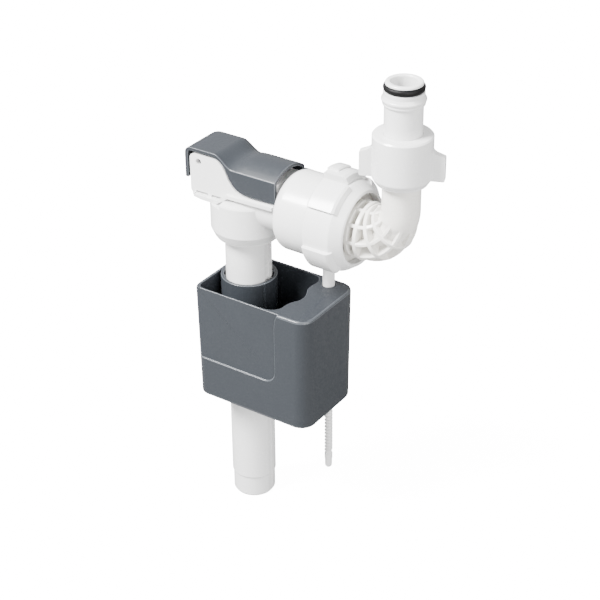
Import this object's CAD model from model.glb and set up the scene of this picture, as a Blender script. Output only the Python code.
import bpy
import bmesh
import math
from mathutils import Matrix, Vector


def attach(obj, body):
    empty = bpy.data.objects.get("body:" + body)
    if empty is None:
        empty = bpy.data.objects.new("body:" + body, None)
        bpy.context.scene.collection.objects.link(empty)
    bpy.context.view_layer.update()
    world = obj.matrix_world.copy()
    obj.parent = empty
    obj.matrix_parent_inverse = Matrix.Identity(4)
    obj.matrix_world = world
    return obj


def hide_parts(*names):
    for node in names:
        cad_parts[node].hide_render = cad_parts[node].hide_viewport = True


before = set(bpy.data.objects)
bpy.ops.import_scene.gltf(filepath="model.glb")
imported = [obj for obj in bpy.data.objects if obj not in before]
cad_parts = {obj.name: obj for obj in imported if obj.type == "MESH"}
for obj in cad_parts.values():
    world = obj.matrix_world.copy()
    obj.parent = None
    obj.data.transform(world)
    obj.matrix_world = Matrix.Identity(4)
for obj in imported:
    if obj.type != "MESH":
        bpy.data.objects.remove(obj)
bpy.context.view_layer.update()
MM = 0.001


# Outlet tube. A white drawn pipe that carries the whole valve, with one keyway down its side
# and a slightly smaller, bevelled spigot at its lower end. It is pushed into the head's collar.

def lathe(outline, steps=96):
    """Spins an outline of radius and height, in mm, about Z into a closed shape."""
    bm = bmesh.new()
    verts = [bm.verts.new((radius * MM, 0, height * MM)) for radius, height in outline]
    for i, vert in enumerate(verts):
        if outline[i][0] > 0 or outline[i - 1][0] > 0:
            bm.edges.new((verts[i - 1], vert))
    bmesh.ops.spin(bm, geom=bm.verts[:] + bm.edges[:], cent=(0, 0, 0), axis=(0, 0, 1),
                   dvec=(0, 0, 0), angle=math.tau, steps=steps, use_merge=True)
    bmesh.ops.remove_doubles(bm, verts=bm.verts[:], dist=1e-6)
    bmesh.ops.recalc_face_normals(bm, faces=bm.faces[:])
    return bm


def skinned(loops):
    """Bridges a stack of closed loops, given in mm, and fills both ends."""
    bm = bmesh.new()
    rings = []
    for loop in loops:
        verts = [bm.verts.new(Vector(point) * MM) for point in loop]
        rings.append([bm.edges.new((verts[i - 1], verts[i])) for i in range(len(verts))])
    for low, high in zip(rings, rings[1:]):
        bmesh.ops.bridge_loops(bm, edges=low + high)
    for end in (rings[0], rings[-1]):
        bmesh.ops.edgeloop_fill(bm, edges=end)
    bmesh.ops.recalc_face_normals(bm, faces=bm.faces[:])
    return bm


def prism(outline, low, high, plane="XY"):
    """A straight block with a flat outline, between two levels across its plane."""
    place = {"XY": lambda a, b, c: (a, b, c),
             "XZ": lambda a, b, c: (a, c, b),
             "YZ": lambda a, b, c: (c, a, b)}[plane]
    return skinned([[place(a, b, level) for a, b in outline] for level in (low, high)])


def oblong(left, right, low, high):
    return [(left, low), (right, low), (right, high), (left, high)]


def arc(x, y, radius, start, end, steps=8):
    """Points round part of a circle, with the angles in degrees."""
    turns = [math.radians(start + (end - start) * i / steps) for i in range(steps + 1)]
    return [(x + radius * math.cos(turn), y + radius * math.sin(turn)) for turn in turns]


def moved(bm, matrix):
    bmesh.ops.transform(bm, matrix=matrix, verts=bm.verts[:])
    return bm


def as_object(name, bm):
    mesh = bpy.data.meshes.new(name)
    bm.to_mesh(mesh)
    bm.free()
    obj = bpy.data.objects.new(name, mesh)
    bpy.context.scene.collection.objects.link(obj)
    return obj


def combined(base, others, kind):
    """Joins closed shapes to a base one, or cuts them out of it, and returns the result."""
    for other in others:
        first, second = as_object("base", base), as_object("tool", other)
        step = first.modifiers.new("step", "BOOLEAN")
        step.operation = kind
        step.solver = "EXACT"
        step.object = second
        bpy.context.view_layer.update()
        result = bpy.data.meshes.new_from_object(
            first.evaluated_get(bpy.context.evaluated_depsgraph_get()))
        base = bmesh.new()
        base.from_mesh(result)
        for spent in (first, second):
            mesh = spent.data
            bpy.data.objects.remove(spent)
            bpy.data.meshes.remove(mesh)
        bpy.data.meshes.remove(result)
    bmesh.ops.remove_doubles(base, verts=base.verts[:], dist=2e-6)
    bmesh.ops.dissolve_limit(base, angle_limit=math.radians(0.4), verts=base.verts[:],
                             edges=base.edges[:])
    return base


def added(base, *others):
    return combined(base, others, "UNION")


def cut(base, *others):
    return combined(base, others, "DIFFERENCE")


CREASE, SHARP = 20, 34


def piece(name, bm, material, body, nodes, edge=0.3, rim=None, clamp=True):
    """Finishes a moulding: rounded edges, smooth faces, its finish, and its place in the frame."""
    obj = as_object(name, bm)
    obj.data.materials.clear()
    obj.data.materials.append(material)
    if rim:
        obj.data.materials.append(rim)
    obj.data.polygons.foreach_set("material_index", [0] * len(obj.data.polygons))
    obj.data.shade_smooth()
    if not edge:
        obj.data.set_sharp_from_angle(angle=math.radians(SHARP))
    else:
        bevel = obj.modifiers.new("edges", "BEVEL")
        bevel.width = edge * MM
        bevel.segments = 3
        bevel.limit_method = "ANGLE"
        bevel.angle_limit = math.radians(CREASE)
        bevel.use_clamp_overlap = clamp
        bevel.material = 1 if rim else -1
        flats = obj.modifiers.new("flats", "WEIGHTED_NORMAL")
        flats.keep_sharp = True
    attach(obj, body)
    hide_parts(*nodes)
    return obj


def moulding_skin():
    """Shader group: the faint unevenness, flow marks and handling marks of moulded plastic."""
    group = bpy.data.node_groups.new("moulding_skin", "ShaderNodeTree")
    face = group.interface
    for name, value in (("Grain", 900.0), ("Waves", 60.0), ("Marks", 300.0)):
        face.new_socket(name, in_out="INPUT", socket_type="NodeSocketFloat").default_value = value
    for name in ("Height", "Tone", "Rub"):
        face.new_socket(name, in_out="OUTPUT", socket_type="NodeSocketFloat")
    nodes, links = group.nodes, group.links
    take, give = nodes.new("NodeGroupInput"), nodes.new("NodeGroupOutput")
    place = nodes.new("ShaderNodeTexCoord")

    def noise(scale, detail, distortion=0.0):
        node = nodes.new("ShaderNodeTexNoise")
        node.inputs["Detail"].default_value = detail
        node.inputs["Distortion"].default_value = distortion
        links.new(place.outputs["Object"], node.inputs["Vector"])
        links.new(take.outputs[scale], node.inputs["Scale"])
        return node.outputs["Fac"]

    grain, waves, marks = noise("Grain", 3), noise("Waves", 2, 0.6), noise("Marks", 6, 1.5)
    blend = nodes.new("ShaderNodeMath")
    blend.operation = "MULTIPLY_ADD"
    links.new(waves, blend.inputs[0])
    blend.inputs[1].default_value = 0.8
    links.new(grain, blend.inputs[2])
    links.new(blend.outputs[0], give.inputs["Height"])
    links.new(waves, give.inputs["Tone"])
    ramp = nodes.new("ShaderNodeValToRGB")
    ramp.color_ramp.elements[0].position = 0.42
    ramp.color_ramp.elements[1].position = 0.68
    links.new(marks, ramp.inputs["Fac"])
    links.new(ramp.outputs["Color"], give.inputs["Rub"])
    return group


SKIN = moulding_skin()


def plastic(name, deep, light, rough, grain, relief, coat=0.0, shine=0.5):
    """Moulded plastic: two close tones that drift, a fine relief, and handling marks in the gloss."""
    material = bpy.data.materials.new(name)
    material.use_nodes = True
    nodes, links = material.node_tree.nodes, material.node_tree.links
    shader = nodes["Principled BSDF"]
    shader.inputs["Coat Weight"].default_value = coat
    shader.inputs["Coat Roughness"].default_value = 0.12
    shader.inputs["Specular IOR Level"].default_value = shine
    skin = nodes.new("ShaderNodeGroup")
    skin.node_tree = SKIN
    skin.inputs["Grain"].default_value = grain
    tone = nodes.new("ShaderNodeMix")
    tone.data_type = "RGBA"
    tone.inputs["A"].default_value = (*deep, 1)
    tone.inputs["B"].default_value = (*light, 1)
    links.new(skin.outputs["Tone"], tone.inputs["Factor"])
    links.new(tone.outputs["Result"], shader.inputs["Base Color"])
    gloss = nodes.new("ShaderNodeMapRange")
    gloss.inputs["To Min"].default_value = rough[0]
    gloss.inputs["To Max"].default_value = rough[1]
    links.new(skin.outputs["Rub"], gloss.inputs["Value"])
    links.new(gloss.outputs["Result"], shader.inputs["Roughness"])
    bump = nodes.new("ShaderNodeBump")
    bump.inputs["Strength"].default_value = relief
    bump.inputs["Distance"].default_value = 0.00006
    links.new(skin.outputs["Height"], bump.inputs["Height"])
    links.new(bump.outputs["Normal"], shader.inputs["Normal"])
    return material


white = plastic("white_moulding", (0.66, 0.66, 0.655), (0.71, 0.71, 0.705), (0.2, 0.3), 500, 0.18,
                coat=0.3)

tube = lathe([(9.4, 0), (9.9, 0), (10.5, 1), (10.5, 11.2), (11, 12.1), (11, 156), (9, 156),
              (9, 10), (9.4, 10)], 128)
keyway = prism(oblong(9.8, 12, -2.2, 2.2), -1, 150)
piece("tube_pipe", cut(tube, keyway), white, "valve_body", ["outlet_tube"], 0.25)


# Silencer and small white works. The silencer is a thin moulded liner pushed into the tube from
# below to quiet the falling water; the jet, seat tube, carrier and thread clip are pressed in place.
def dress(material, *names):
    """Gives CAD nodes that stay in view their finish."""
    for name in names:
        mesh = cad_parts[name].data
        mesh.materials.clear()
        mesh.materials.append(material)


dress(white, "silencer_tube", "pilot_jet", "seat_tube", "diaphragm_carrier", "thread_clip")


# Valve head. One white moulding: the round collar that takes the tube, the tall cheek that carries
# the lever's pin, the box over the pilot works, and the duct that runs to the inlet barrel.
PIN_X, PIN_Z = -18.4, 183.2
CHEEK = ([(-23.3, 168.4)] + arc(-19.6, 168.8, 3.4, 205, 265, 4) + [(-16, 165), (-8, 165), (-4.3, 167.4),
         (-1.5, 169.6), (23.4, 170.2), (23.4, 172.4), (11, 171.9), (5.8, 172.3), (2.7, 173.4),
         (0.2, 175.5), (-1.9, 178.4), (-3.4, 181.7), (-5.2, 184.3), (-7.4, 186.1), (-10, 186.8)]
         + arc(-20.8, 184.3, 2.5, 90, 180, 6))
collar = lathe([(11.15, 147), (14.9, 147), (14.9, 147.9), (15.7, 148.2), (17.3, 151.8), (17.3, 166.6),
                (16.9, 167.4), (13, 168), (8, 168), (8, 157), (11.15, 157)], 128)
collar = cut(collar, prism(oblong(-20, -3.6, -20, 20), 165.02, 170))
cheek = prism(CHEEK, -11.9, 11.9, "XZ")
works_box = prism(oblong(-8, 23.3, 164, 181.4), -9.6, 9.6, "XZ")
duct = prism(arc(0, 165.8, 11.5, 0, 360 * 63 / 64, 63), 0.5, 25.5, "YZ")
socket = lathe([(0, 146), (11.15, 146), (11.15, 157), (0, 157)])
LIP = [(-20.6, 165.8), (-16, 165.1), (-8, 165.1), (-4.3, 167.4), (-1.5, 169.6), (23.2, 170.3),
       (23.2, 171.7), (-2.2, 171.2), (-5, 169), (-8.4, 167), (-16, 167), (-21.2, 167.6)]
lip = prism(LIP, -13.5, 13.5, "XZ")
head = cut(added(collar, cheek, lip, works_box, duct), socket)
lug_slot = prism(oblong(-22.2, -14.2, 179.2, 190), -3.2, 3.2, "XZ")
pin_hole = prism(arc(PIN_X, PIN_Z, 1.6, 0, 360 * 23 / 24, 23), -14, 14, "XZ")
vents = [prism(oblong(left, right, 167.1, 168.4), side - 1.6, side + 1.6, "XZ")
         for left, right in ((-20.4, -13.6), (-11.6, -5.6)) for side in (-11.9, 11.9)]
gate_mark = moved(prism(arc(0, 0, 1.1, 0, 330, 11), 0, 1.0),
                  Matrix.Translation(Vector((-8.6, -15.6, 158.6)) * MM)
                  @ Vector((-8.6, -15.0, 0)).to_track_quat("Z", "Y").to_matrix().to_4x4())
head = cut(head, lug_slot, pin_hole, gate_mark, *vents)
piece("head_moulding", head, white, "valve_body", ["valve_head"], 0.35)


# Inlet barrel. A white turned-looking moulding with a round shoulder, welded to the head's duct;
# its far end is threaded for the union nut.
ALONG_X = Matrix.Translation((0, 0, 167.3 * MM)) @ Matrix.Rotation(math.pi / 2, 4, "Y")
shoulder = arc(25 + 5.2, 13.7, 5.2, 180, 90, 10)
barrel = lathe([(radius, along) for along, radius in shoulder]
               + [(18.9, 43.6), (18.4, 43.9), (18.3, 53.5), (11.5, 53.5), (11.5, 30), (8, 30), (8, 25.6),
                  (13.05, 25.6), (13.05, 25)], 128)
piece("barrel_moulding", moved(barrel, ALONG_X), white, "valve_body", ["inlet_barrel"])


# Works inside the head and barrel: blue strainer and flow restrictor, and the rubber parts,
# all dropped in before the union is closed.
blue = plastic("blue_moulding", (0.05, 0.12, 0.26), (0.07, 0.16, 0.32), (0.35, 0.5), 900, 0.3)
black_rubber = plastic("black_rubber", (0.0015, 0.0015, 0.0017), (0.0025, 0.0025, 0.0028),
                       (0.5, 0.62), 1400, 0.3, shine=0.15)
grey_rubber = plastic("grey_rubber", (0.014, 0.0145, 0.016), (0.02, 0.02, 0.022), (0.5, 0.65), 1400, 0.4)
dress(blue, "strainer", "flow_restrictor")
dress(black_rubber, "union_washer", "spigot_washer")
dress(grey_rubber, "diaphragm", "pilot_pad", "tube_seal")


# Union nut. White moulding with four broad raised lugs for the fingers, one higher thumb lug and a
# wide bevelled mouth. It screws on the barrel and holds the elbow's collar against the washer.
def lug(outline, start, end, steps=10):
    """Sweeps an outline of radius and height about Z between two angles."""
    turns = [math.radians(start + (end - start) * i / steps) for i in range(steps + 1)]
    return skinned([[(radius * math.cos(turn), radius * math.sin(turn), height)
                     for radius, height in outline] for turn in turns])


union_nut = lathe([(18.4, 44.2), (20.2, 44.2), (20.9, 44.9), (20.9, 58.1), (20.4, 59.1), (17.7, 63),
                   (16.9, 63.5), (16.2, 63), (16.2, 59.3), (18.4, 59.3)], 128)
LUG = [(19.8, 44.9), (22.2, 44.9), (22.7, 45.6), (22.7, 57.8), (22, 58.9), (20.2, 59.9), (19.8, 59.9)]
THUMB_LUG = [(19.8, 44.4), (24, 44.4), (24.7, 45.2), (24.7, 54.6), (24.1, 56), (22.4, 56.8), (19.8, 56.8)]
THUMB_STEP = [(22, 44.4), (25.1, 44.4), (25.7, 45), (25.7, 49.6), (25.2, 50.5), (22, 50.5)]
lugs = [lug(LUG, 192 + 90 * i, 232 + 90 * i) for i in range(4)]
lugs += [lug(THUMB_LUG, 146, 187), lug(THUMB_STEP, 156, 180)]
union_nut = added(union_nut, *lugs)
piece("nut_moulding", moved(union_nut, ALONG_X), white, "union_nut", ["union_nut"], 0.5)


# Elbow. A warmer white moulding: a thin pipe through a quarter bend, cored out between long and
# cross ribs that sink into the smooth riser, with a collar for the union and a threaded riser.
BEND_X, BEND_Z, BEND = 66.6, 183.3, 16.0
RISER_X, RISER_TOP = BEND_X + BEND, 212.2
PIPE, BORE = 8.2, 6.6
LEG = -9.5
FIN_END = 71


def station(way):
    """Centre and course of the pipe: mm before the bend when negative, degrees round it after."""
    turn = math.radians(min(max(way, 0), 90))
    centre = Vector((BEND_X + BEND * math.sin(turn), 0, BEND_Z - BEND * math.cos(turn)))
    course = Vector((math.cos(turn), 0, math.sin(turn)))
    return centre + course * min(way, 0), course


def across_pipe(way, radius, angle, shift=0.0):
    """A point at a radius and an angle round the pipe, moved along the pipe."""
    centre, course = station(way)
    inward = Vector((-course.z, 0, course.x))
    turn = math.radians(angle)
    outward = inward * math.cos(turn) - Vector((0, 1, 0)) * math.sin(turn)
    return centre + outward * radius + course * shift


def hoop(way, radius, shift=0.0, count=64):
    return [across_pipe(way, radius, 360 * i / count, shift) for i in range(count)]


def fin_reach(way):
    """Outer radius of the ribs, which sink towards the riser's own radius."""
    share = min(max(way, 0) / FIN_END, 1)
    return 13.3 - 4.6 * share * share * (1.5 - 0.5 * share)


def pipe_radius(way):
    return PIPE if way < 66 else 8.85 - 0.25 * (way - 66) / 24


WAYS = [4.5 * i for i in range(21)]
elbow = skinned([hoop(LEG, PIPE)] + [hoop(way, pipe_radius(way)) for way in WAYS]
                + [hoop(90, 8.6, RISER_TOP - BEND_Z)])
riser_thread = prism(arc(RISER_X, 0, 10.7, 0, 360 * 63 / 64, 63), 198.2, RISER_TOP)
flange = skinned([hoop(LEG, 17.4, shift) for shift in (-1.4, 1.6)])
ribs = []
for turn in range(22, 382, 36):
    rows = []
    for way in [LEG + 1, 0] + [FIN_END * i / 16 for i in range(1, 17)]:
        centre, course = station(way)
        side = across_pipe(way, 1, turn + 90) - centre
        reach = fin_reach(way)
        rows.append([across_pipe(way, radius, turn) + side * half
                     for radius, half in ((7.4, -0.95), (7.4, 0.95), (reach - 0.25, 0.8), (reach, 0.55),
                                          (reach, -0.55), (reach - 0.25, -0.8))])
    ribs.append(skinned(rows))
rings = []
for way in (-4.4, 0.5, 25, 48):
    reach = fin_reach(way) + 0.05
    rings.append(skinned([hoop(way, radius, shift) for radius, shift in
                          ((reach - 0.25, -0.95), (reach, -0.7), (reach, 0.7), (reach - 0.25, 0.95))]))
bore = skinned([hoop(LEG, BORE, -4), hoop(0, BORE)] + [hoop(way, BORE) for way in WAYS[1:]]
               + [hoop(90, BORE, 40)])
fin_white = plastic("fin_moulding", (0.69, 0.672, 0.63), (0.74, 0.725, 0.685), (0.26, 0.38), 500, 0.2,
                    coat=0.2)
elbow = cut(added(elbow, riser_thread, flange, *rings, *ribs), bore)
piece("elbow_moulding", elbow, fin_white, "elbow", ["elbow"], 0)


# Wing nut. White cap nut with two flat wings, screwed on the riser by hand; its flat top holds the
# spigot's flange down on a washer.
RISER = Matrix.Translation((RISER_X * MM, 0, 0))
cap_nut = lathe([(10.8, 196.1), (11.5, 196.1), (11.5, 196.9), (12.3, 197.4)] + arc(11.3, 199.6, 2, -40, 0, 4)
                + [(13.3, 217.9), (12.7, 218.6), (8.5, 218.9), (8.5, 215.3), (10.8, 215.3)], 128)
WING = ([(12.4, 198)] + arc(17.8, 198.8, 0.8, -90, 0, 4) + arc(17.8, 208.7, 0.8, 0, 70, 4)
        + [(14.6, 210.8), (13.6, 211.6), (12.4, 213.4)])
wings = [prism([(side * a, b) for a, b in WING], -1.8, 1.8, "XZ") for side in (-1, 1)]
cap_nut = moved(added(cap_nut, *wings), RISER @ Matrix.Rotation(math.radians(22), 4, "Z"))
piece("wing_nut_moulding", cap_nut, white, "wing_nut", ["wing_nut"], 0.4)


# Spigot. White pipe with a double stop ring and a grooved nose that pushes into the supply socket,
# sealed there by a black rubber ring stretched into the groove.
GROOVE_Z, RING_STRETCH = 239.9, 1.22
spigot = lathe([(5.8, 213.4), (10.5, 213.4), (10.5, 215.1), (8.4, 215.1), (8.4, 232.1), (9.1, 232.4),
                (9.25, 232.9), (9.1, 233.4), (9.2, 233.7)] + arc(8.7, 234.7, 1.0, -50, 50, 6)
               + [(8.9, 236.6), (8.9, 238.4), (6.7, 238.4), (6.7, 241.4), (8.2, 241.4)]
               + arc(7.3, 241.7, 0.9, 0, 85, 5) + arc(6.6, 241.8, 0.8, 95, 180, 4), 96)
piece("spigot_moulding", moved(spigot, RISER), white, "spigot", ["inlet_spigot"], 0.2)
o_ring = lathe([(radius, GROOVE_Z + RING_STRETCH * (height - GROOVE_Z))
                for radius, height in arc(7.9, GROOVE_Z, 1.15, 0, 345, 23)], 96)
piece("spigot_o_ring", moved(o_ring, RISER), black_rubber, "spigot", ["spigot_ring"], 0)


# Float. Blue-grey matt cup that slides on the tube: open well round the sleeve on the left, closed
# deck over an air bell on the right, shallow recessed panel on its front, rod boss at the back.
LEFT, RIGHT, FRONT, BACK, LOW, TOP = -14.6, 49.7, -25.6, 17.2, 65.8, 125.3
ROD_X, ROD_Y = 37.6, 11.7


def cup_plan(z, inset=0.0):
    """The cup's rounded plan at a height; the draft makes it smaller towards the bottom."""
    inset += (TOP - z) * math.tan(math.radians(0.6))
    left, right, front, back = LEFT + inset, RIGHT - inset, FRONT + inset, BACK - inset
    small, large = 4.8, 7.0
    plan = arc(left + small, front + small, small, 180, 270)
    plan += arc(right - large, front + large, large, 270, 360)
    plan += arc(right - large, back - large, large, 0, 90)
    plan += arc(left + small, back - small, small, 90, 180)
    return [(x, y, z) for x, y in plan]


def curve(start, pull, end, steps=10):
    """Points of a soft bend from start to end, drawn towards a third point."""
    bend = []
    for s in [i / steps for i in range(steps + 1)]:
        bend.append(tuple((1 - s) ** 2 * a + 2 * s * (1 - s) * b + s * s * c
                          for a, b, c in zip(start, pull, end)))
    return bend


cup = skinned([cup_plan(LOW, 1.2), cup_plan(LOW + 0.35, 0.35), cup_plan(LOW + 1.2), cup_plan(TOP - 0.9),
               cup_plan(TOP - 0.25, 0.25), cup_plan(TOP, 0.8)])
panel = prism([(LEFT - 2, 87), (26, 87)] + curve((27, 87.2), (31.6, 88.4), (31.7, 94))
              + [(31.8, 118), (32.4, 122), (34.2, 127), (LEFT - 2, 127)], FRONT - 2, FRONT + 1.05, "XZ")
well = prism(arc(LEFT + 5.2, FRONT + 5.2, 3.4, 180, 270, 6)
             + curve((24, -23.8), (31.4, -22.8), (31.6, -17.6), 6)
             + curve((31.7, -16.2), (31.9, -12.6), (33.6, -10.2), 6)
             + curve((34.6, -8.4), (35.6, -4.4), (33.4, -0.6), 6)
             + curve((32.2, 1.8), (31.4, 5), (32.1, 8), 6)
             + curve((32.3, 9.6), (31.8, 15.2), (27, 15.4), 6)
             + arc(LEFT + 5.2, BACK - 5.2, 3.4, 90, 180, 6), LOW + 3, TOP + 2)
bell = prism(curve((34.4, -17.6), (34.8, -22.6), (40, -22.8), 6)
             + arc(41.3, -17.8, 5, 270, 360, 6) + arc(41.4, 9.2, 5, 0, 90, 6)
             + [(33.6, 14.2), (34, 5), (36.6, -3), (36.4, -10)], LOW - 1, TOP - 2.4)
sleeve = lathe([(9, LOW), (13.5, LOW), (13.5, TOP), (9, TOP)])
boss = prism(arc(ROD_X, ROD_Y, 5.2, 0, 352, 40), LOW + 0.02, TOP - 0.8)
sleeve_bore = lathe([(0, LOW - 1), (12, LOW - 1), (12, TOP + 1), (0, TOP + 1)])
rod_hole = prism(arc(ROD_X, ROD_Y, 3.3, 0, 348, 29), 74, TOP + 2)
clip_hole = prism(arc(ROD_X, ROD_Y, 4, 0, 348, 29), LOW - 1, 74.1)
guides = [moved(prism(oblong(11.3, 12.6, -0.9, 0.9), LOW + 0.4, TOP - 0.4), Matrix.Rotation(turn, 4, "Z"))
          for turn in (math.pi * (0.25 + 0.5 * i) for i in range(4))]
seam = moved(prism(oblong(13.15, 14, -0.22, 0.22), LOW + 3.1, TOP + 1),
             Matrix.Rotation(math.radians(-23), 4, "Z"))
cup = cut(cup, panel, well, bell)
cup = cut(added(cup, sleeve, boss), sleeve_bore, rod_hole, clip_hole, seam)
cup = added(cup, *guides)
grey = plastic("grey_moulding", (0.0185, 0.0212, 0.0252), (0.0215, 0.0246, 0.0292),
               (0.42, 0.54), 1500, 0.5, shine=0.3)
grey_rim = plastic("grey_edges", (0.042, 0.047, 0.055), (0.052, 0.058, 0.066),
                   (0.3, 0.4), 1500, 0.2, shine=0.6)
piece("float_moulding", cup, grey, "float", ["float_cup"], 0.28, grey_rim, False)


# Adjusting rod. White moulded rod: smooth shank above, coarse thread below that screws through the
# clip in the float, plain tip, and a pin at the top that turns in the cap under the lever's fork.
PITCH, CREST, ROOT, TURN_STEPS = 2.0, 2.08, 1.6, 20


def helix(low, high):
    """One closed thread ridge wound about Z between two heights."""
    count = int((high - low) / PITCH * TURN_STEPS)
    rows = []
    for i in range(count + 1):
        turn, z = math.tau * i / TURN_STEPS, low + PITCH * i / TURN_STEPS
        crest = CREST if 4 < i < count - 4 else ROOT + 0.06
        ridge = ((ROOT - 0.25, -0.62), (crest, -0.2), (crest, 0.2), (ROOT - 0.25, 0.62))
        rows.append([(radius * math.cos(turn), radius * math.sin(turn), z + rise) for radius, rise in ridge])
    return skinned(rows)


rod = lathe([(0, 19.5), (1.1, 19.65), (1.7, 20.4), (1.8, 21.4), (1.8, 24.8), (2, 25), (2, 28),
             (ROOT, 28.4), (ROOT, 80), (2.9, 81.2), (2.9, 136.9), (2.6, 137.2), (1.2, 137.2), (1.2, 142),
             (0, 142)], 40)
thread = helix(28.6, 79.4)
thread_mesh = bpy.data.meshes.new("thread")
thread.to_mesh(thread_mesh)
thread.free()
rod.from_mesh(thread_mesh)
bpy.data.meshes.remove(thread_mesh)
ROD = Matrix.Translation((ROD_X * MM, ROD_Y * MM, 0))
piece("rod_moulding", moved(rod, ROD), white, "rod", ["adjusting_rod"], 0)
rod_cap = lathe([(1.25, 137.25), (2.2, 137.25), (2.2, 140.8), (3.3, 140.8), (3.3, 141.8), (2.9, 142.3),
                 (0, 142.3), (0, 142.05), (1.25, 142.05)], 40)
piece("cap_moulding", moved(rod_cap, ROD), white, "rod_swivel", ["rod_cap"], 0.15)


# Lever. Blue-grey matt hood over the head, hung on the pin by a lug underneath. Its end plate holds
# the pilot pad, its crowned end reaches the barrel, and an arm behind the barrel ends in a fork.
dress(grey_rubber, "lever_pin")
HALF, THICK = 12.0, 1.75
HOOD_TOP, HOOD_LOW, CROWN, REAR_FALL = 189.6, 183.7, 4.2, 1.3
LOW_EDGE = [(-9.6, 187.6), (-6.9, 186.9), (-4.6, 184.9), (-2.8, 182), (-1.2, 178.8), (0.8, 176),
            (3.1, 174.2), (6, 173.2), (11, 172.8), (23.6, 173)]


def smooth(x, start, end):
    """Rises softly from 0 at start to 1 at end."""
    share = min(max((x - start) / (end - start), 0), 1)
    return share * share * (3 - 2 * share)


def between(points, x):
    """Height of a line of points at x."""
    for (a, b), (c, d) in zip(points, points[1:]):
        if x <= c:
            return b + (d - b) * max(x - a, 0) / (c - a)
    return points[-1][1]


def hood_section(x, z, out_x, out_z, drop, crown, rear, count=20):
    """A closed section across the hood, from its top line outwards, with its two side walls."""
    flat = []
    for i in range(count + 1):
        y = -HALF + 2 * HALF * i / count
        share = abs(y) / HALF
        fall = rear * max(0, (y - HALF + 5) / 5) ** 2
        flat.append((y, crown * (1 - share ** 2.2) - fall))
    inner = HALF - THICK
    under = []
    for i in range(count + 1):
        y = inner - 2 * inner * i / count
        under.append((y, crown * (1 - (abs(y) / HALF) ** 2.2) - THICK))
    loop = flat + [(HALF, -drop), (inner, -drop)] + under + [(-inner, -drop), (-HALF, -drop)]
    return [(x + out_x * rise, y, z + out_z * rise) for y, rise in loop]


rows = []
for z in (174, 178, 182, 186.2):
    rows.append((-26.2, z, -1, 0, 0))
for turn in range(15, 91, 15):
    side, rise = math.cos(math.radians(turn)), math.sin(math.radians(turn))
    rows.append((-22.8 - 3.4 * side, 186.2 + 3.4 * rise, -side, rise, 0))
stations = [-19, -14, -10.4] + [-9.6 + 0.8 * i for i in range(22)] + [10, 13, 17, 21, 24.2]
hood = []
for x, z, out_x, out_z, crown in rows:
    hood.append(hood_section(x, z, out_x, out_z, THICK, crown, REAR_FALL))
for x in stations:
    top = HOOD_TOP - (HOOD_TOP - HOOD_LOW) * smooth(x, -9.6, 0.8)
    drop = max(top - (between(LOW_EDGE, x) if x > -9.6 else HOOD_TOP - THICK), THICK)
    rear = REAR_FALL * (1 - smooth(x, -8, 4))
    hood.append(hood_section(x, top, 0, 1, drop, CROWN * smooth(x, -10, 7), rear))
hood = skinned(hood)
bmesh.ops.remove_doubles(hood, verts=hood.verts[:], dist=1e-6)
pin_lug = prism(arc(PIN_X, PIN_Z, 3.1, 200, 340, 8) + [(-15.3, 188), (-21.5, 188)], -2.6, 2.6, "XZ")
arm = prism([(12.6, 176.5), (12, 175.8), (12, 172.5), (28.2, 138.3), (38.4, 138.3), (38.4, 144.5),
             (23.2, 170), (22.4, 176.5)], 20.3, 22.0, "XZ")
bridge = prism(oblong(12.9, 21.2, 173.5, 176.2), 11, 21.2, "XZ")
fork = prism([(28.2, 8.2), (38.4, 8.2), (38.4, 9.05)] + arc(32.6, 11.7, 2.65, 270, 90, 16)
             + [(38.4, 14.35), (38.4, 22), (28.2, 22)], 138.3, 140)
lug_bore = prism(arc(PIN_X, PIN_Z, 1.26, 0, 345, 23), -5, 5, "XZ")
pad_seat = prism(arc(0, 176.6, 2.6, 0, 345, 23), -25.6, -22, "YZ")
hood = cut(added(hood, pin_lug, arm, bridge, fork), lug_bore, pad_seat)
piece("hood_moulding", hood, grey, "lever", ["lever_arm"], 0.3, grey_rim, False)


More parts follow.
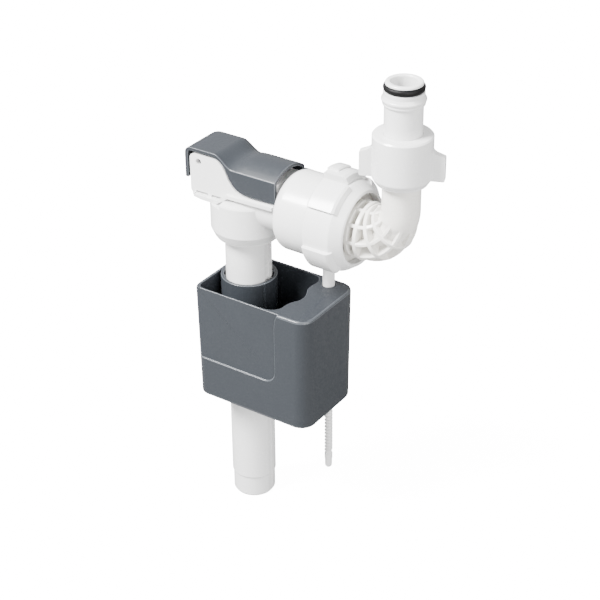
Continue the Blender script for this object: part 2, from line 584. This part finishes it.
# Studio. Pale floor that lights the object's underside only a little, a broad soft light from the
# upper front and a weaker one from the right.
bpy.ops.mesh.primitive_plane_add(size=30, location=(0, 0, -0.0003))
floor = bpy.context.object
floor.name = "floor"
paper = bpy.data.materials.new("paper")
paper.use_nodes = True
nodes, links = paper.node_tree.nodes, paper.node_tree.links
seen = nodes["Principled BSDF"]
seen.inputs["Base Color"].default_value = (0.9, 0.9, 0.9, 1)
seen.inputs["Roughness"].default_value = 0.9
seen.inputs["Emission Color"].default_value = (1, 1, 1, 1)
seen.inputs["Emission Strength"].default_value = 14
bounce = nodes.new("ShaderNodeBsdfDiffuse")
bounce.inputs["Color"].default_value = (0.24, 0.24, 0.24, 1)
path, either = nodes.new("ShaderNodeLightPath"), nodes.new("ShaderNodeMixShader")
links.new(path.outputs["Is Camera Ray"], either.inputs["Fac"])
links.new(bounce.outputs["BSDF"], either.inputs[1])
links.new(seen.outputs["BSDF"], either.inputs[2])
links.new(either.outputs["Shader"], nodes["Material Output"].inputs["Surface"])
floor.data.materials.append(paper)


def soft_light(name, place, aim, size, power):
    light = bpy.data.lights.new(name, "AREA")
    light.size = size
    light.energy = power
    lamp = bpy.data.objects.new(name, light)
    lamp.location = place
    lamp.rotation_euler = (Vector(aim) - Vector(place)).to_track_quat("-Z", "Y").to_euler()
    bpy.context.scene.collection.objects.link(lamp)


MIDDLE = (0.03, 0, 0.13)
soft_light("key", (-0.35, -0.6, 1.0), MIDDLE, 0.42, 80)
soft_light("fill", (0.95, -0.45, 0.4), MIDDLE, 0.7, 16)
world = bpy.data.worlds.new("studio")
world.use_nodes = True
world.node_tree.nodes["Background"].inputs["Color"].default_value = (1, 1, 1, 1)
world.node_tree.nodes["Background"].inputs["Strength"].default_value = 1.2
bpy.context.scene.world = world


# Camera. It stands at the front right, well above the valve and a long way back, with a long lens
# that keeps the upright pipes nearly parallel.
TURN, RISE, ROLL = math.radians(34.47), math.radians(30.69), math.radians(-0.51)
AIM, REACH = Vector((0.02916, 0, 0.11947)), 0.7559
back = Vector((math.sin(TURN) * math.cos(RISE), -math.cos(TURN) * math.cos(RISE), math.sin(RISE)))
camera = bpy.data.objects.new("camera", bpy.data.cameras.new("camera"))
camera.matrix_world = (Matrix.Translation(AIM + back * REACH)
                       @ Matrix.Rotation(TURN, 4, "Z") @ Matrix.Rotation(math.pi / 2 - RISE, 4, "X")
                       @ Matrix.Rotation(ROLL, 4, "Z"))
camera.data.sensor_width = 36
camera.data.lens = 96.83
camera.data.clip_start = 0.01
bpy.context.scene.collection.objects.link(camera)
bpy.context.scene.camera = camera
